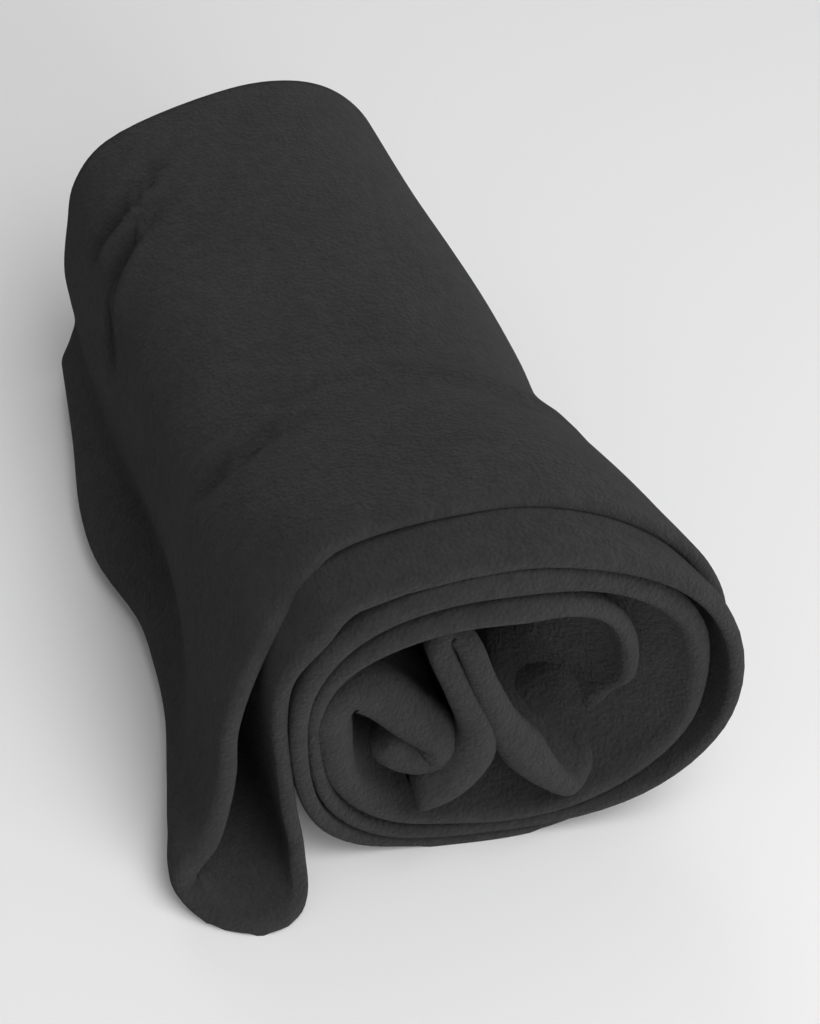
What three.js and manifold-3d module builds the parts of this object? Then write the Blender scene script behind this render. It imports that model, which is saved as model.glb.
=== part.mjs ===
// A rolled gym towel: one cloth, folded in half along its length and then across it,
// and rolled from its free ends, so that the cross fold hangs as a loop beside the roll.
// Millimetres, +Z up, resting on z = 0. The roll's axis runs along Y.
import * as THREE from "three";
import Module from "manifold-3d";

const band = 3.2; // two plies of cloth lying together
const half = band / 2;
const axisX = 4; // the roll's middle
const axisShare = 0.46; // height of the roll's middle, as a share of its top
const stepsPerQuarter = 5;
const pointsPerStep = 2;
const flatDepth = 0.8; // lowest part of the roll, pressed flat on the surface

const endSkew = 0.25; // the near end is not square to the roll
const nearEdge = -105;
const farEdge = 109;
const nearFill = -88; // the turns are parted up to here and wound solid behind it
const farFill = 101;

const table = (columns, rows) =>
  rows.map((row) => Object.fromEntries(columns.map((name, i) => [name, row[i]])));

// Sections along the roll: its top, its right side, the hanging loop's inner wall,
// how loosely the turns lie, and how far left the loop's outer wall reaches
// at the shoulder, half way down and at its foot. The heel is the inner foot.
const sections = table(
  ["y", "top", "right", "left", "loose", "shoulder", "bulge", "foot", "heel"],
  [
    [-112, 121.5, 68.0, -53.6, 1.0, -66.5, -71.0, -84.5, -53.5],
    [-98, 122.0, 63.5, -53.6, 1.0, -66.5, -71.0, -85.0, -53.5],
    [-80, 121.5, 59.0, -53.6, 0.95, -67.0, -71.5, -84.0, -53.0],
    [-58, 116.0, 55.5, -53.4, 0.75, -66.0, -69.5, -77.5, -52.5],
    [-38, 108.5, 53.5, -53.0, 0.45, -63.0, -64.0, -71.5, -52.0],
    [-19, 101.5, 53.0, -51.5, 0.2, -60.0, -59.5, -68.5, -51.5],
    [0, 100.5, 55.0, -49.3, 0.1, -58.3, -56.5, -66.0, -51.0],
    [25, 100.0, 56.0, -47.5, 0.05, -57.3, -56.0, -70.0, -50.5],
    [45, 100.0, 55.5, -46.5, 0.0, -56.8, -56.5, -73.0, -50.0],
    [75, 100.5, 54.0, -45.7, 0.05, -56.0, -55.5, -68.0, -49.5],
    [109, 102.0, 53.5, -44.0, 0.15, -53.0, -52.0, -59.0, -48.0],
  ],
);
const nearTop = 122;

// Turns of the two strands, from the loop inwards: the depth of each below the roll's
// surface where it lies tight and where it lies loose, how square the corner after it is
// (2 is an ellipse), and how far its near edge stands out (set back when negative).
const outerTurns = table(
  ["side", "tight", "loose", "corner", "advance"],
  [
    ["top", half, half, 2.2, -16],
    ["right", half, half, 2.2, -14],
    ["bottom", half, half, 3.6, 0],
    ["left", 4.2, 4.2, 2.1, 0],
    ["top", 10.6, 15.0, 2.2, 2],
    ["right", 10.0, 15.0, 2.2, -3],
    ["bottom", 10.0, 10.0, 2.2, 0],
  ],
);
const innerTurns = table(
  ["side", "tight", "loose", "corner", "advance"],
  [
    ["top", 5.8, 8.6, 2.2, 0],
    ["right", 5.8, 7.2, 2.2, 0],
    ["bottom", 5.8, 5.8, 3.4, 0],
    ["left", 8.4, 8.4, 2.1, 0],
    ["top", 17.0, 22.5, 2.2, 5],
    ["right", 24.0, 30.5, 2.2, -7],
  ],
);

// The hanging loop's places, down its inner wall, round its foot and up its outer wall:
// each lies a share of the way from one named width to another (more by slack where the
// roll is loose), at a height that grows with the roll (high) plus a fixed rise (up).
const strandGap = 4; // the outer strand lies this far outside the inner one
const loop = table(
  ["from", "to", "share", "slack", "high", "up", "advance"],
  [
    ["left", "axis", 0.22, 0.12, 99, 4.5, 0],
    ["left", "axis", 0.08, 0.11, 91, 0, 0],
    ["left", "axis", 0.016, 0.034, 78, 0, 0],
    ["left", "left", 0, 0, 62, 0, 0],
    ["left", "left", 0, 0, 44, 0, 0],
    ["left", "heel", 0.5, 0, 26, 0, 2],
    ["heel", "heel", 0, 0, 0, 12, 7],
    ["heel", "toe", 0.14, 0, 0, 4, 18],
    ["heel", "toe", 0.5, 0, 0, half, 22],
    ["heel", "toe", 0.86, 0, 0, 4, 18],
    ["toe", "toe", 0, 0, 0, 10, 10],
    ["toe", "wall", 0.6, 0, 0, 18, 4],
    ["wall", "wall", 0, 0, 30, 0, 0],
    ["wall", "upper", 0.5, 0, 42, 0, -1],
    ["upper", "upper", 0, 0, 56, 0, -4],
    ["upper", "strand", 0.8, 0.42, 78, 0, -9],
    ["strand", "axis", 0.055, 0.16, 100, -3.4, -13],
    ["strand", "axis", 0.256, 0.12, 112, -1.6, -15],
  ],
);

// The strands' free ends in the roll's heart, given for a roll whose sides are heartLeft
// and heartRight and whose top is nearTop.
const heartFloor = 10;
const heartLeft = -52;
const heartInset = 9; // the turns between the roll's left side and its heart
const heartRight = 63;
const archAndTongue = table(
  ["x", "z", "advance"],
  [
    [34, 42, -15],
    [31.5, 30, -17],
    [27, 21, -8],
    [19.5, 20.5, 1],
    [13.5, 28, 4],
    [7, 40, 5],
    [1, 54, 4],
    [-3.5, 70, 3],
    [-7, 84, 0],
    [-10, 88, -2],
    [-13, 84, -1],
    [-9.8, 69, 3],
    [-5.4, 54, 5],
    [-6, 43, 6],
    [-12, 33, 7],
    [-22, 28, 8],
  ],
);
const curl = table(
  ["x", "z", "advance"],
  [
    [-11, 12, 0],
    [-23, 15.5, 0],
    [-32, 22.5, 0],
    [-37.5, 34, 0],
    [-39, 48, 0],
    [-39, 60.5, 0],
    [-34.5, 67, 0],
    [-27.5, 63, 0],
    [-20, 54, 1],
    [-13.5, 46.5, 3],
    [-16, 40, 3],
    [-23, 42, 2],
    [-26.5, 49, 1],
  ],
);

const mix = THREE.MathUtils.lerp;
const directions = { left: [-1, 0], top: [0, 1], right: [1, 0], bottom: [0, -1] };

// A section at any y, by a cubic through the table's rows.
function sectionAt(y) {
  const last = sections.length - 1;
  const held = THREE.MathUtils.clamp(y, sections[0].y, sections[last].y);
  let i = 0;
  while (i < last - 1 && held > sections[i + 1].y) i++;
  const rows = [Math.max(i - 1, 0), i, i + 1, Math.min(i + 2, last)].map((k) => sections[k]);
  const span = rows[2].y - rows[1].y;
  const t = (held - rows[1].y) / span;
  const result = {};
  for (const name of Object.keys(rows[1])) {
    const slope = (a, b) => ((b[name] - a[name]) / (b.y - a.y || 1)) * span;
    const m1 = slope(rows[0], rows[2]);
    const m2 = slope(rows[1], rows[3]);
    const rise = rows[2][name] - rows[1][name];
    result[name] = rows[1][name] + m1 * t + (3 * rise - 2 * m1 - m2) * t * t
      + (m1 + m2 - 2 * rise) * t * t * t;
  }
  return result;
}

function turnPath(turns, section) {
  const axisZ = axisShare * section.top;
  const reach = ({ side, tight, loose }) => {
    const depth = mix(tight, loose, section.loose);
    const sides = {
      top: section.top - axisZ,
      right: section.right - axisX,
      bottom: axisZ,
      left: axisX - section.left,
    };
    return sides[side] - depth;
  };
  const path = [];
  turns.forEach((turn, i) => {
    const next = turns[i + 1] ?? turn;
    const [ax, az] = directions[turn.side];
    const [bx, bz] = directions[next.side];
    const steps = turns[i + 1] ? stepsPerQuarter : 1;
    for (let k = 0; k < steps; k++) {
      const angle = (Math.PI / 2) * (k / stepsPerQuarter);
      const a = reach(turn) * Math.cos(angle) ** (2 / turn.corner);
      const b = reach(next) * Math.sin(angle) ** (2 / turn.corner);
      const advance = mix(turn.advance, next.advance, k / stepsPerQuarter);
      path.push([axisX + a * ax + b * bx, axisZ + a * az + b * bz, advance]);
    }
  });
  return path;
}

function heartPath(rows, section) {
  const tall = (section.top - heartFloor) / (nearTop - heartFloor);
  const wideRight = (section.right - axisX) / (heartRight - axisX);
  const wideLeft = (axisX - section.left - heartInset) / (axisX - heartLeft - heartInset);
  return rows.map(({ x, z, advance }) => {
    const wide = x > axisX ? wideRight : wideLeft;
    return [axisX + (x - axisX) * wide, heartFloor + (z - heartFloor) * tall, advance];
  });
}

// The hanging loop: down its inner wall, round the foot and up its outer wall.
function loopPath(section) {
  const tall = section.top / nearTop;
  const widths = {
    axis: axisX,
    left: section.left,
    heel: section.heel,
    toe: section.foot + half,
    wall: section.bulge + half,
    upper: section.shoulder + half,
    strand: section.left - strandGap,
  };
  return loop.map(({ from, to, share, slack, high, up, advance }) => {
    const x = mix(widths[from], widths[to], share + slack * section.loose);
    return [x, high * tall + up, advance];
  });
}

// The whole band's centre line at one y, from one free end to the other.
function centreLine(y) {
  const section = sectionAt(y);
  const controls = [
    ...heartPath(archAndTongue, section).reverse(),
    ...turnPath(innerTurns, section).reverse(),
    ...loopPath(section),
    ...turnPath(outerTurns, section),
    ...heartPath(curl, section),
  ];
  const curve = new THREE.CatmullRomCurve3(controls.map((point) => new THREE.Vector3(...point)));
  const count = (controls.length - 1) * pointsPerStep;
  return Array.from({ length: count + 1 }, (_, i) => curve.getPoint(i / count));
}

const loopStart = (archAndTongue.length + (innerTurns.length - 1) * stepsPerQuarter + 1)
  * pointsPerStep;
const loopEnd = loopStart + (loop.length - 1) * pointsPerStep;
const reference = centreLine(nearEdge);

// A point of the band, a share of the way from its near edge to its far edge and
// shifted sideways from its centre line.
function bandPoint(k, near, far, share, shift) {
  const y = mix(near(k), far, share);
  const line = centreLine(y);
  const before = line[Math.max(k - 1, 0)];
  const after = line[Math.min(k + 1, line.length - 1)];
  const run = Math.hypot(after.x - before.x, after.y - before.y);
  const x = line[k].x - ((after.y - before.y) / run) * shift;
  const z = line[k].y + ((after.x - before.x) / run) * shift;
  return [x, y, z < flatDepth ? 0 : z];
}

function shares(near, far) {
  const ys = sections.map((row) => row.y).filter((y) => y > near + 8 && y < far - 8);
  return [0, ...ys.map((y) => (y - near) / (far - near)), 1];
}

function solidFrom(positions, triangles, wasm) {
  const { Manifold, Mesh } = wasm;
  const mesh = new Mesh({
    numProp: 3,
    vertProperties: new Float32Array(positions.flat()),
    triVerts: new Uint32Array(triangles.flat()),
  });
  return new Manifold(mesh);
}

// The cloth band itself, every turn of it, from edge to edge.
function bandSolid(wasm) {
  const near = (k) => nearEdge - endSkew * reference[k].x - reference[k].z;
  const stations = shares(nearEdge, farEdge);
  const columns = reference.length;
  const rows = stations.length;
  const positions = [];
  for (const shift of [half, -half]) {
    for (const share of stations) {
      for (let k = 0; k < columns; k++) {
        positions.push(bandPoint(k, near, farEdge, share, shift));
      }
    }
  }
  const at = (side, row, k) => (side * rows + row) * columns + k;
  const triangles = [];
  const quad = (a, b, c, d) => triangles.push([a, c, b], [a, d, c]);
  for (let row = 0; row < rows - 1; row++) {
    for (let k = 0; k < columns - 1; k++) {
      quad(at(0, row, k), at(0, row + 1, k), at(0, row + 1, k + 1), at(0, row, k + 1));
      quad(at(1, row, k), at(1, row, k + 1), at(1, row + 1, k + 1), at(1, row + 1, k));
    }
    const end = columns - 1;
    quad(at(1, row, 0), at(1, row + 1, 0), at(0, row + 1, 0), at(0, row, 0));
    quad(at(0, row, end), at(0, row + 1, end), at(1, row + 1, end), at(1, row, end));
  }
  for (let k = 0; k < columns - 1; k++) {
    const end = rows - 1;
    quad(at(0, 0, k), at(0, 0, k + 1), at(1, 0, k + 1), at(1, 0, k));
    quad(at(1, end, k), at(1, end, k + 1), at(0, end, k + 1), at(0, end, k));
  }
  return solidFrom(positions, triangles, wasm);
}

// The wound body behind the near end's open turns, bounded by its outermost turn.
function woundSolid(wasm) {
  const leftSide = loopEnd + (3 * stepsPerQuarter + 1) * pointsPerStep;
  const wallTop = loopStart + 3 * pointsPerStep;
  const outer = Array.from({ length: leftSide - loopEnd + 1 }, (_, i) => loopEnd + i);
  const inner = Array.from({ length: wallTop - loopStart + 1 }, (_, i) => wallTop - i);
  const outline = [...outer, ...inner];
  const near = (k) => nearFill - endSkew * reference[k].x;
  const stations = shares(nearFill, farFill);
  const positions = [];
  for (const share of stations) {
    for (const k of outline) positions.push(bandPoint(k, near, farFill, share, 0));
  }
  const count = outline.length;
  const triangles = [];
  for (let row = 0; row < stations.length - 1; row++) {
    for (let i = 0; i < count; i++) {
      const next = (i + 1) % count;
      const a = row * count + i;
      const b = row * count + next;
      triangles.push([a, b + count, a + count], [a, b, b + count]);
    }
  }
  for (const row of [0, stations.length - 1]) {
    const ring = positions.slice(row * count, (row + 1) * count);
    const flat = ring.map(([x, , z]) => new THREE.Vector2(x, z));
    for (const [a, b, c] of THREE.ShapeUtils.triangulateShape(flat, [])) {
      const face = [a, b, c].map((i) => i + row * count);
      triangles.push(row === 0 ? face : face.reverse());
    }
  }
  return solidFrom(positions, triangles, wasm);
}

const wasm = await Module();
wasm.setup();
const bandPart = bandSolid(wasm);
const woundPart = woundSolid(wasm);
const towelSolid = bandPart
  .add(woundPart)
  .decompose()
  .reduce((largest, piece) => (piece.volume() > largest.volume() ? piece : largest))
  .simplify(0.02);

function geometryOf(solid) {
  const mesh = solid.getMesh();
  const geometry = new THREE.BufferGeometry();
  geometry.setAttribute("position", new THREE.BufferAttribute(mesh.vertProperties, mesh.numProp));
  geometry.setIndex(new THREE.BufferAttribute(mesh.triVerts, 1));
  geometry.computeVertexNormals();
  return geometry;
}

const cloth = new THREE.MeshStandardMaterial({ color: 0x3a3a3b, roughness: 0.95, metalness: 0 });
const geometry = geometryOf(towelSolid);
geometry.computeBoundingBox();
const middle = geometry.boundingBox.getCenter(new THREE.Vector3());
geometry.translate(-middle.x, -middle.y, 0);
const towel = new THREE.Mesh(geometry, cloth);
towel.name = "towel";

const part = new THREE.Group();
part.add(towel);
export default part;
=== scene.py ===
"""A rolled gym towel: one cloth folded in half along its length, then across it, and rolled.

The cloth is built as the two plies that it is, folded together at the roll's near end.
Lengths are in millimetres until the mesh is made. The roll's axis runs along Y.
"""
import math

import bpy
import numpy as np
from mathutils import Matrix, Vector


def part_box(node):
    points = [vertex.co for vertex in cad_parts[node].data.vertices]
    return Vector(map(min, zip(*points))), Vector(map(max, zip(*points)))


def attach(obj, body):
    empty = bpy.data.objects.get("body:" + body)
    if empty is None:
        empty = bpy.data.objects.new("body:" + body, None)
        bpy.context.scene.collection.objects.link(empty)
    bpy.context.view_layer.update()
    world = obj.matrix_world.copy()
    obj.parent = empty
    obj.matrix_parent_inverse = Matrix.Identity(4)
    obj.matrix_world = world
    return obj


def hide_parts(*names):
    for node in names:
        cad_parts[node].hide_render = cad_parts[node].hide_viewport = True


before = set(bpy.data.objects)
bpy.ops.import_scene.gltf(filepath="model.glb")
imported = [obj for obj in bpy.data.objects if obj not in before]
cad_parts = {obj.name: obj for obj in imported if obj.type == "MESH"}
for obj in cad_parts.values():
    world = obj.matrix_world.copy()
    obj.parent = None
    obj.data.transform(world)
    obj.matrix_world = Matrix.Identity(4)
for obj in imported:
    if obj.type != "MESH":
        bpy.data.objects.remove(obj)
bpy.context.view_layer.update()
MM = 0.001
LIGHT_TARGET = (0, 0, 0.05)

# The cloth
BAND = 3.2  # two plies together
HALF = BAND / 2
PLY_GAP = 0.12  # half the space between the plies

# The roll, as in the part's source but for the hanging loop's foot and what the scene adds
AXIS_X = 4
AXIS_SHARE = 0.46
FLAT_DEPTH = 0.8
END_SKEW = 0.25
NEAR_EDGE = -105
FAR_EDGE = 109
NEAR_TOP = 122
HEART_FLOOR = 10
HEART_LEFT, HEART_RIGHT = -52, 63
HEART_INSET = 9

SECTION_NAMES = ("y", "top", "right", "left", "loose", "shoulder", "bulge", "foot", "heel")
SECTIONS = np.array([
    (-112, 121.5, 68.0, -53.6, 1.0, -66.5, -71.0, -84.5, -53.5),
    (-98, 122.0, 63.5, -53.6, 1.0, -66.5, -71.0, -85.0, -53.5),
    (-80, 121.5, 59.0, -53.6, 0.95, -67.0, -71.5, -84.0, -53.0),
    (-58, 116.0, 55.5, -53.4, 0.75, -66.0, -69.5, -77.5, -52.5),
    (-38, 108.5, 53.5, -53.0, 0.45, -63.0, -64.0, -71.5, -52.0),
    (-19, 101.5, 53.0, -51.5, 0.2, -60.0, -59.5, -68.5, -51.5),
    (0, 100.5, 55.0, -49.3, 0.1, -58.3, -56.5, -67.5, -51.0),
    (25, 100.0, 56.0, -47.5, 0.05, -57.3, -56.0, -72.0, -50.5),
    (45, 100.0, 55.5, -46.5, 0.0, -56.8, -56.5, -71.0, -50.0),
    (75, 100.5, 54.0, -45.7, 0.05, -56.0, -55.5, -64.5, -49.5),
    (109, 102.0, 53.5, -44.0, 0.15, -53.0, -52.0, -58.0, -48.0),
], float)

# side, depth where tight, depth where loose, squareness of the next corner, advance,
# and how far the turn draws in behind the near end's lips
OUTER_TURNS = (
    ("top", HALF, 3.6, 2.2, -16, 0),
    ("right", HALF, 2.6, 2.2, -14, 0),
    ("bottom", HALF, HALF, 3.6, 0, 0),
    ("left", 4.2, 4.2, 2.1, 0, 0.05),
    ("top", 10.6, 15.0, 2.2, 2, 0.1),
    ("right", 10.0, 15.0, 2.2, -3, 0.4),
    ("bottom", 10.0, 10.0, 2.2, 0, 0.4),
)
INNER_TURNS = (
    ("top", 5.8, 8.6, 2.2, 0, 0),
    ("right", 5.8, 7.2, 2.2, 0, 0),
    ("bottom", 5.8, 5.8, 3.4, 0, 0),
    ("left", 8.4, 8.4, 2.1, 0, 0.05),
    ("top", 17.0, 22.5, 2.2, 5, 0.15),
    ("right", 24.0, 30.5, 2.2, -7, 0.4),
)
HEART_DRAW = 0.4
HEART_MIDDLE = (-4, 52)
DRAW_DEPTH = 32
LOOSE_DEPTH = 16
INNER_LOOSENESS = 0.15  # share of the looseness that is left deep in the roll
# The hanging loop's places: a share of the way from one named width to another, what looseness
# adds to it, a height that grows with the roll, a fixed rise, and advance
STRAND_GAP = 4
LOOP = (
    ("left", "axis", 0.22, 0.12, 99, 4.5, 0),
    ("left", "axis", 0.08, 0.11, 91, 0, 0),
    ("left", "axis", 0.016, 0.034, 78, 0, 0),
    ("left", "left", 0, 0, 62, 0, 0),
    ("left", "left", 0, 0, 44, 0, 0),
    ("left", "heel", 0.5, 0, 26, 0, 2),
    ("heel", "heel", 0, 0, 0, 12, 7),
    ("heel", "toe", 0.14, 0, 0, 4, 18),
    ("heel", "toe", 0.5, 0, 0, HALF, 22),
    ("heel", "toe", 0.86, 0, 0, 4, 18),
    ("toe", "toe", 0, 0, 0, 10, 10),
    ("toe", "wall", 0.6, 0, 0, 18, 4),
    ("wall", "wall", 0, 0, 30, 0, 0),
    ("wall", "upper", 0.5, 0, 42, 0, -1),
    ("upper", "upper", 0, 0, 56, 0, -4),
    ("upper", "strand", 0.8, 0.42, 78, 0, -9),
    ("strand", "axis", 0.055, 0.16, 100, -3.4, -13),
    ("strand", "axis", 0.256, 0.12, 112, -1.6, -15),
)

# x, z and advance of the heart's folds at the near end, from the right
ARCH_AND_TONGUE = (
    (34, 42, -15), (31.5, 30, -17), (27, 21, -8), (19.5, 20.5, 1), (13.5, 28, 4), (7, 40, 5),
    (1, 54, 4), (-3.5, 70, 3), (-7, 84, 0), (-10, 88, -2), (-13, 84, -1), (-9.8, 69, 3),
    (-5.4, 54, 5), (-6, 43, 6), (-12, 33, 7), (-22, 28, 8),
)
CURL = (
    (-11, 12, 0), (-23, 15.5, 0), (-32, 22.5, 0), (-37.5, 34, 0), (-39, 48, 0), (-39, 60.5, 0),
    (-34.5, 67, 0), (-27.5, 63, 0), (-20, 54, 1), (-13.5, 46.5, 3), (-16, 40, 3), (-23, 42, 2),
    (-26.5, 49, 1),
)
STEPS = 5  # controls for each quarter turn
DIRECTIONS = {"left": (-1, 0), "top": (0, 1), "right": (1, 0), "bottom": (0, -1)}

# How much the folded edge swells at the near end, by control of the path, in mm
SWELLS = (
    (0, 4.5), (1, 5.0), (2, 5.5), (3, 3.2), (4, 2.0), (6, 1.6), (8, 2.0), (9, 3.0),
    (10, 4.6), (11, 2.6), (12, 1.8), (15, 0.8), (21, 1.2), (26, 0.6), (36, 0.6), (40, 0.7),
    (48, 0.6), (51, 2.6), (54, 1.2), (58, 0.5), (70, 0.4), (75, 0.8), (80, 2.2), (85, 1.6),
    (90, 0.8), (93, 1.6), (95, 3.5), (97, 4.5), (100, 4.5), (103, 5.5),
)
SWELL_DEPTH = 16
END_ROUND = 0.7

# Seed and size, in mm, of the slow wave in each edge of the band
NEAR_WAVE = (3, 0.5)
FAR_WAVE = (5, 0.8)

# Creases across the roll: how high each stands (a trough when negative), its half width,
# and the places it passes, as an angle round the roll (90 is its top, 180 its left) and y.
CREASES = (
    (-5.4, 2.8, ((112, -16), (118, -20), (125, -26), (136, -30), (150, -28))),
    (2.6, 3.6, ((105, -10), (116, -13), (125, -19), (136, -23), (150, -21))),
    (1.3, 4.0, ((40, -52), (55, -44), (65, -36), (81, -20), (99, -14), (114, -13))),
    (-1.0, 5.0, ((55, -55), (68, -45), (81, -31), (99, -25), (112, -24))),
    (-4.4, 3.0, ((114, 95), (120, 91), (129, 83), (138, 79), (152, 79))),
    (2.2, 3.2, ((118, 86), (128, 79.5), (138, 74.5), (152, 74))),
    (-4.8, 3.4, ((122, 79), (128, 75), (136, 69), (148, 65), (158, 58), (172, 52))),
    (1.2, 4.0, ((130, 65), (140, 59), (150, 55), (160, 48))),
)

# How far a crease runs past its ends and fades out, as shares of its length
CREASE_OVERRUN = 0.1
CREASE_FADE = 0.35


def mix(a, b, t):
    return a + (b - a) * t


def smooth(x):
    x = np.clip(x, 0, 1)
    return x * x * (3 - 2 * x)


def sections_at(y):
    """The sections table at every y, by the same cubic as the part's source."""
    rows, ys = SECTIONS, SECTIONS[:, 0]
    last = len(rows) - 1
    y = np.clip(y, ys[0], ys[-1])
    i = np.clip(np.searchsorted(ys, y) - 1, 0, last - 1)
    r0, r1, r2, r3 = rows[np.maximum(i - 1, 0)], rows[i], rows[i + 1], rows[np.minimum(i + 2, last)]
    span = r2[:, :1] - r1[:, :1]
    t = (y[:, None] - r1[:, :1]) / span

    def slope(a, b):
        run = b[:, :1] - a[:, :1]
        return (b - a) / np.where(run == 0, 1, run) * span

    m1, m2, rise = slope(r0, r2), slope(r1, r3), r2 - r1
    value = r1 + m1 * t + (3 * rise - 2 * m1 - m2) * t**2 + (m1 + m2 - 2 * rise) * t**3
    return dict(zip(SECTION_NAMES, value.T))


def turn_path(turns, s):
    axis_z = AXIS_SHARE * s["top"]
    sides = {
        "top": s["top"] - axis_z,
        "right": s["right"] - AXIS_X,
        "bottom": axis_z,
        "left": AXIS_X - s["left"],
    }

    def reach(turn):
        return sides[turn[0]] - mix(turn[1], turn[2], s["loose"])

    path = []
    for i, turn in enumerate(turns):
        following = turns[min(i + 1, len(turns) - 1)]
        (ax, az), (bx, bz) = DIRECTIONS[turn[0]], DIRECTIONS[following[0]]
        for k in range(STEPS if i < len(turns) - 1 else 1):
            angle = math.pi / 2 * k / STEPS
            a = reach(turn) * math.cos(angle) ** (2 / turn[3])
            b = reach(following) * math.sin(angle) ** (2 / turn[3])
            advance = mix(turn[4], following[4], k / STEPS)
            draw = mix(turn[5], following[5], k / STEPS)
            x, z = AXIS_X + a * ax + b * bx, axis_z + a * az + b * bz
            path.append(drawn_in(x, z, draw, s) + (advance,))
    return path


def drawn_in(x, z, draw, s):
    """A point of the inner turns, drawn towards the roll's heart behind the lips."""
    keep = 1 - draw * s["drawn"]
    return mix(HEART_MIDDLE[0], x, keep), mix(HEART_MIDDLE[1], z, keep)


def heart_path(rows, s):
    tall = (s["top"] - HEART_FLOOR) / (NEAR_TOP - HEART_FLOOR)
    wide_right = (s["right"] - AXIS_X) / (HEART_RIGHT - AXIS_X)
    wide_left = (AXIS_X - s["left"] - HEART_INSET) / (AXIS_X - HEART_LEFT - HEART_INSET)
    path = []
    for x, z, advance in rows:
        wide = wide_right if x > AXIS_X else wide_left
        x = AXIS_X + (x - AXIS_X) * wide
        z = HEART_FLOOR + (z - HEART_FLOOR) * tall
        path.append(drawn_in(x, z, HEART_DRAW, s) + (advance,))
    return path


def loop_path(s):
    """Down the hanging loop's inner wall, round its foot and up its outer wall."""
    tall = s["top"] / NEAR_TOP
    widths = {
        "axis": AXIS_X,
        "left": s["left"],
        "heel": s["heel"],
        "toe": s["foot"] + HALF,
        "wall": s["bulge"] + HALF,
        "upper": s["shoulder"] + HALF,
        "strand": s["left"] - STRAND_GAP,
    }
    return [
        (mix(widths[start], widths[end], share + slack * s["loose"]), high * tall + up, advance)
        for start, end, share, slack, high, up, advance in LOOP
    ]


def controls_at(y, depth):
    """Control points of the band's centre line at each y, depth behind the near edge.

    One row for each y, with x, z and advance.
    """
    s = sections_at(y)
    s["drawn"] = smooth(depth / DRAW_DEPTH)
    s["loose"] = np.maximum(s["loose"] * INNER_LOOSENESS, np.exp(-np.maximum(depth, 0) / LOOSE_DEPTH))
    path = (
        heart_path(ARCH_AND_TONGUE, s)[::-1]
        + turn_path(INNER_TURNS, s)[::-1]
        + loop_path(s)
        + turn_path(OUTER_TURNS, s)
        + heart_path(CURL, s)
    )
    points = [[np.broadcast_to(value, y.shape) for value in point] for point in path]
    return np.array(points).transpose(2, 0, 1)


def spline(points, u):
    """A centripetal spline through points[n, control, 3] at u, counted in controls."""
    first = 2 * points[:, :1] - points[:, 1:2]
    last = 2 * points[:, -1:] - points[:, -2:-1]
    p = np.concatenate([first, points, last], axis=1)
    i = np.minimum(np.floor(u).astype(int), points.shape[1] - 2)
    w = (u - i)[:, None]
    row = np.arange(len(u))
    p0, p1, p2, p3 = (p[row, i + k] for k in range(4))

    def knot(a, b):
        return np.maximum(np.linalg.norm(b - a, axis=1, keepdims=True), 1e-6) ** 0.5

    d0, d1, d2 = knot(p0, p1), knot(p1, p2), knot(p2, p3)
    t1 = ((p1 - p0) / d0 - (p2 - p0) / (d0 + d1) + (p2 - p1) / d1) * d1
    t2 = ((p2 - p1) / d1 - (p3 - p1) / (d1 + d2) + (p3 - p2) / d2) * d1
    return p1 + t1 * w + (3 * (p2 - p1) - 2 * t1 - t2) * w**2 + (2 * (p1 - p2) + t1 + t2) * w**3


# How finely each stretch of the path is meshed: controls in it, and steps for each
STRETCHES = (
    (len(ARCH_AND_TONGUE), 4),
    ((len(INNER_TURNS) - 1) * STEPS + 1, 3),
    (len(LOOP), 7),
    (4 * STEPS, 7),
    ((len(OUTER_TURNS) - 5) * STEPS + 1, 3),
    (len(CURL) - 1, 4),
)

# Share of the rows spent by each share of the way to the far edge: most at the lip and creases
ROW_SHARES = ((0, 0), (0.26, 0.15), (0.37, 0.30), (0.58, 0.47), (0.69, 0.70), (1, 1))
OUTER_ROWS = 86  # on each outer face
INNER_ROWS = 8  # on each face between the plies
INNER_POWER = 1.3
NOSE_ANGLES = (66, 40, 14, -14, -40, -66)  # round the folded edge


def path_stations():
    stations, start = [], 0
    for controls, steps in STRETCHES:
        stations += [start + k / steps for k in range(controls * steps)]
        start += controls
    return np.array(stations + [start])


def wander(u, seed, size):
    """A slow uneven wave along the cloth's length."""
    rng = np.random.default_rng(seed)
    value = np.zeros_like(u)
    for rate in (0.31, 0.73, 1.9):
        value += math.sqrt(0.3 / rate) * np.sin(rate * u + rng.uniform(0, 6.3))
    return value * size


def band_lines():
    """For each path station, where the band's near and far edges lie."""
    u = path_stations()
    near_section = np.full(u.shape, float(NEAR_EDGE))
    reference = spline(controls_at(near_section, np.zeros_like(near_section)), u)
    near = NEAR_EDGE - END_SKEW * reference[:, 0] - reference[:, 2] + wander(u, *NEAR_WAVE)
    far = FAR_EDGE - np.abs(wander(u, *FAR_WAVE))
    return u, near, far


def crease_shift(x, y, z, s):
    """How far each point moves out from the roll's axis for the creases across it."""
    axis_z = AXIS_SHARE * s["top"]
    angle = np.degrees(np.arctan2(z - axis_z, x - AXIS_X)) % 360
    shift = np.zeros_like(x)
    for height, width, places in CREASES:
        angles, ys = zip(*places)
        along = (angle - angles[0]) / (angles[-1] - angles[0])
        line = np.interp(angle, angles, ys)
        fade = smooth((along + CREASE_OVERRUN) / CREASE_FADE)
        fade = fade * smooth((1 + CREASE_OVERRUN - along) / CREASE_FADE)
        shift += height * fade * np.exp(-(((y - line) / width) ** 2))
    return shift


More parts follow.
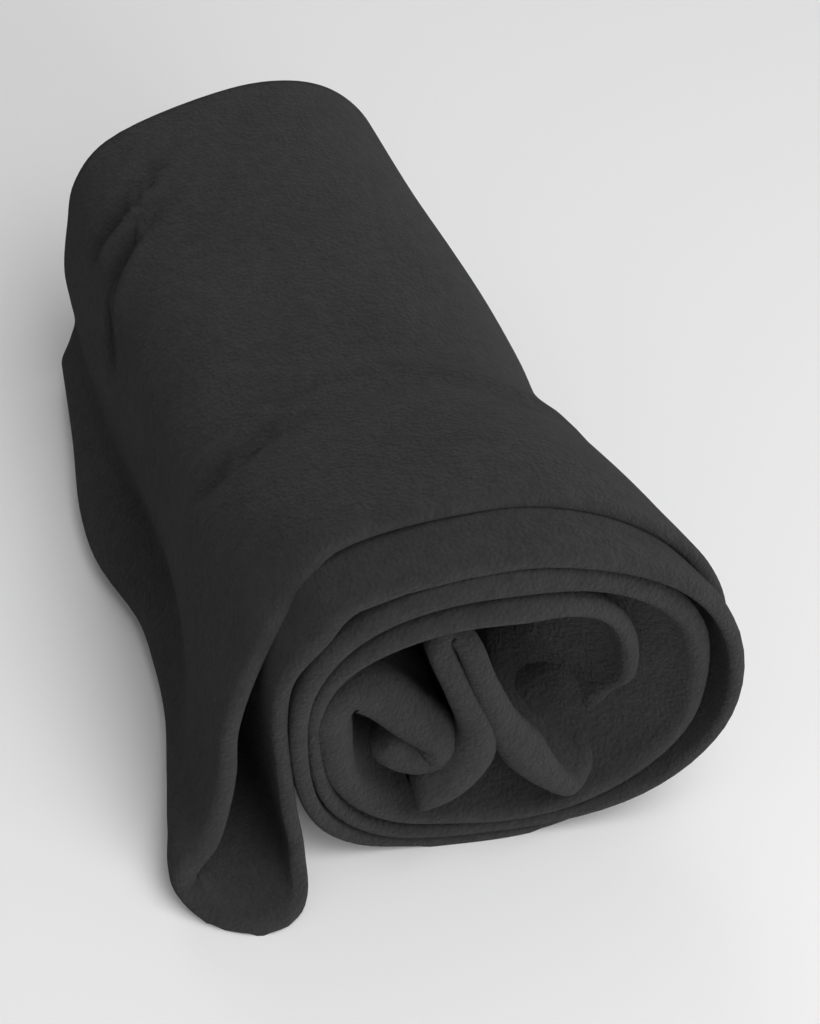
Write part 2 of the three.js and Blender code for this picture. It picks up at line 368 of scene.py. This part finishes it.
def band_surface(u, y, depth, shift):
    """Points of the band at path stations u, at y, off its centre line by shift."""
    step = 0.02
    s = sections_at(y)
    controls = controls_at(y, depth)
    here = spline(controls, u)
    last = controls.shape[1] - 1
    ahead = spline(controls, np.minimum(u + step, last))
    behind = spline(controls, np.maximum(u - step, 0))
    run = ahead[:, :2] - behind[:, :2]
    run /= np.linalg.norm(run, axis=1, keepdims=True)
    x, z = here[:, 0], here[:, 1]
    out = crease_shift(x, y, z, s)
    axis_z = AXIS_SHARE * s["top"]
    radial = np.stack([x - AXIS_X, z - axis_z], axis=1)
    radius = np.linalg.norm(radial, axis=1, keepdims=True)
    radial /= radius
    x = x + radial[:, 0] * out - run[:, 1] * shift
    z = z + radial[:, 1] * out + run[:, 0] * shift
    z = np.where(z < FLAT_DEPTH, z * 0, z)
    return np.stack([x, y, z], axis=1)


def profile():
    """Points round the folded cloth's cut edge: (past, share, face, gap).

    Past and face count the fold's half thickness: past behind the near edge, and face off the
    centre line. Share is how far the point lies towards the far edge. The outer faces run from
    the far edge to the fold and back, the inner ones between them.
    """
    outer = [float(np.interp(k / OUTER_ROWS, *zip(*ROW_SHARES))) for k in range(1, OUTER_ROWS + 1)]
    inner = [(k / INNER_ROWS) ** INNER_POWER for k in range(1, INNER_ROWS + 1)]
    nose = [math.radians(a) for a in NOSE_ANGLES]
    points = [(1, share, 1, 0) for share in reversed([0] + outer)]
    points += [(1 - math.cos(a), 0, math.sin(a), 0) for a in nose]
    points += [(1, share, -1, 0) for share in [0] + outer]
    points += [(1, share, 0, -PLY_GAP) for share in reversed([0] + inner)]
    points += [(0.9, 0, 0, 0)]
    points += [(1, share, 0, PLY_GAP) for share in [0] + inner]
    return points


def make_towel():
    u, near, far = band_lines()
    rim = profile()
    count, around = len(u), len(rim)
    points = []
    swell = np.interp(u, *zip(*SWELLS))
    ends = np.minimum(np.minimum(u, u[-1] - u) / END_ROUND, 1)
    ends = np.sqrt(1 - (1 - ends) ** 2)
    thick = HALF + swell
    for past, share, face, gap in rim:
        y = mix(near + past * thick, far, share)
        depth = y - near
        half = HALF + swell * (1 - smooth((depth - thick) / SWELL_DEPTH))
        points.append(band_surface(u, y, depth, (face * half + gap) * ends))
    points = np.array(points).transpose(1, 0, 2).reshape(-1, 3)
    faces = []
    for k in range(count - 1):
        a, b = k * around, (k + 1) * around
        for i in range(around):
            j = (i + 1) % around
            faces.append((a + i, a + j, b + j, b + i))
    faces.append(tuple(reversed(range(around))))
    faces.append(tuple(range((count - 1) * around, count * around)))
    return points, faces


def towel_object(points, faces):
    """The mesh, moved from the roll's own place to the part's."""
    cad_low, cad_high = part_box("towel")
    points = points * MM
    points[:, 0] += cad_high.x - points[:, 0].max()
    points[:, 1] += cad_high.y - points[:, 1].max()
    mesh = bpy.data.meshes.new("towel_cloth")
    mesh.from_pydata(points.tolist(), [], faces)
    mesh.update()
    mesh.shade_smooth()
    towel = bpy.data.objects.new("towel_cloth", mesh)
    bpy.context.collection.objects.link(towel)
    return towel


def terry_material():
    material = bpy.data.materials.new("charcoal_terry")
    material.use_nodes = True
    nodes, links = material.node_tree.nodes, material.node_tree.links
    shader = nodes["Principled BSDF"]
    shader.inputs["Roughness"].default_value = 0.95
    shader.inputs["Specular IOR Level"].default_value = 0.05
    shader.inputs["Diffuse Roughness"].default_value = 1
    shader.inputs["Sheen Weight"].default_value = 0.02
    shader.inputs["Sheen Roughness"].default_value = 0.6
    place = nodes.new("ShaderNodeTexCoord")

    pile = nodes.new("ShaderNodeTexVoronoi")
    pile.feature = "F1"
    pile.inputs["Scale"].default_value = 800
    links.new(place.outputs["Object"], pile.inputs["Vector"])
    fuzz = nodes.new("ShaderNodeTexNoise")
    fuzz.inputs["Scale"].default_value = 1100
    fuzz.inputs["Detail"].default_value = 4
    fuzz.inputs["Roughness"].default_value = 0.65
    links.new(place.outputs["Object"], fuzz.inputs["Vector"])
    clumps = nodes.new("ShaderNodeTexNoise")
    clumps.inputs["Scale"].default_value = 260
    clumps.inputs["Detail"].default_value = 3
    links.new(place.outputs["Object"], clumps.inputs["Vector"])
    nap = nodes.new("ShaderNodeTexNoise")
    nap.inputs["Scale"].default_value = 45
    nap.inputs["Detail"].default_value = 5
    links.new(place.outputs["Object"], nap.inputs["Vector"])

    def weighted(value, weight, rest):
        """A node that adds a weighted value to the rest."""
        node = nodes.new("ShaderNodeMath")
        node.operation = "MULTIPLY_ADD"
        links.new(value, node.inputs[0])
        node.inputs[1].default_value = weight
        links.new(rest, node.inputs[2])
        return node.outputs[0]

    relief = weighted(pile.outputs["Distance"], -0.6, fuzz.outputs["Fac"])
    relief = weighted(clumps.outputs["Fac"], 1.0, relief)
    bump = nodes.new("ShaderNodeBump")
    bump.inputs["Strength"].default_value = 0.85
    bump.inputs["Distance"].default_value = 0.0009
    links.new(relief, bump.inputs["Height"])
    links.new(bump.outputs["Normal"], shader.inputs["Normal"])

    tone = weighted(nap.outputs["Fac"], 0.7, clumps.outputs["Fac"])
    tone = weighted(pile.outputs["Distance"], -0.25, tone)
    ramp = nodes.new("ShaderNodeValToRGB")
    ramp.color_ramp.elements[0].position = 0.45
    ramp.color_ramp.elements[0].color = (0.0335, 0.0335, 0.0343, 1)
    ramp.color_ramp.elements[1].position = 1.0
    ramp.color_ramp.elements[1].color = (0.0425, 0.0425, 0.0432, 1)
    links.new(tone, ramp.inputs["Fac"])
    links.new(ramp.outputs["Color"], shader.inputs["Base Color"])
    return material


def floor_and_lights():
    bpy.ops.mesh.primitive_plane_add(size=6, location=(0, 0, 0))
    floor = bpy.context.object
    floor.name = "floor"
    paper = bpy.data.materials.new("pale_floor")
    paper.use_nodes = True
    shader = paper.node_tree.nodes["Principled BSDF"]
    shader.inputs["Base Color"].default_value = (0.88, 0.88, 0.88, 1)
    shader.inputs["Roughness"].default_value = 0.9
    floor.data.materials.append(paper)

    world = bpy.data.worlds.new("studio")
    world.use_nodes = True
    world.node_tree.nodes["Background"].inputs["Color"].default_value = (1, 1, 1, 1)
    world.node_tree.nodes["Background"].inputs["Strength"].default_value = 0.27
    bpy.context.scene.world = world

    for name, place, size, power in (
        ("key", (0.27, -0.5, 1.05), 0.8, 8.0),
        ("fill", (0.2, -1.25, 0.42), 0.7, 8.0),
        ("back", (0.25, 1.3, 0.7), 0.8, 4.0),
    ):
        lamp = bpy.data.lights.new(name, "AREA")
        lamp.size = size
        lamp.energy = power
        light = bpy.data.objects.new(name, lamp)
        light.location = place
        aim = Vector(LIGHT_TARGET) - light.location
        light.rotation_euler = aim.to_track_quat("-Z", "Y").to_euler()
        bpy.context.collection.objects.link(light)
    bpy.context.scene.view_settings.view_transform = "Standard"


def camera(shift):
    azimuth, elevation, distance = math.radians(-22), math.radians(48), 0.680
    focal_pixels, frame_height = 2415, 1024
    target = Vector((0.009, -0.022, 0.045)) + shift
    back = Vector((
        math.sin(azimuth) * math.cos(elevation),
        -math.cos(azimuth) * math.cos(elevation),
        math.sin(elevation),
    ))
    data = bpy.data.cameras.new("camera")
    data.sensor_width = 36
    data.lens = focal_pixels / frame_height * 36
    data.clip_start = 0.01
    viewer = bpy.data.objects.new("camera", data)
    viewer.location = target + back * distance
    viewer.rotation_euler = (-back).to_track_quat("-Z", "Y").to_euler()
    bpy.context.collection.objects.link(viewer)
    bpy.context.scene.camera = viewer


points, faces = make_towel()
towel = towel_object(points, faces)
corner = towel.data.vertices[0].co - Vector(points[0]) * MM
towel.data.materials.append(terry_material())
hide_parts("towel")
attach(towel, "root")
floor_and_lights()
camera(corner)
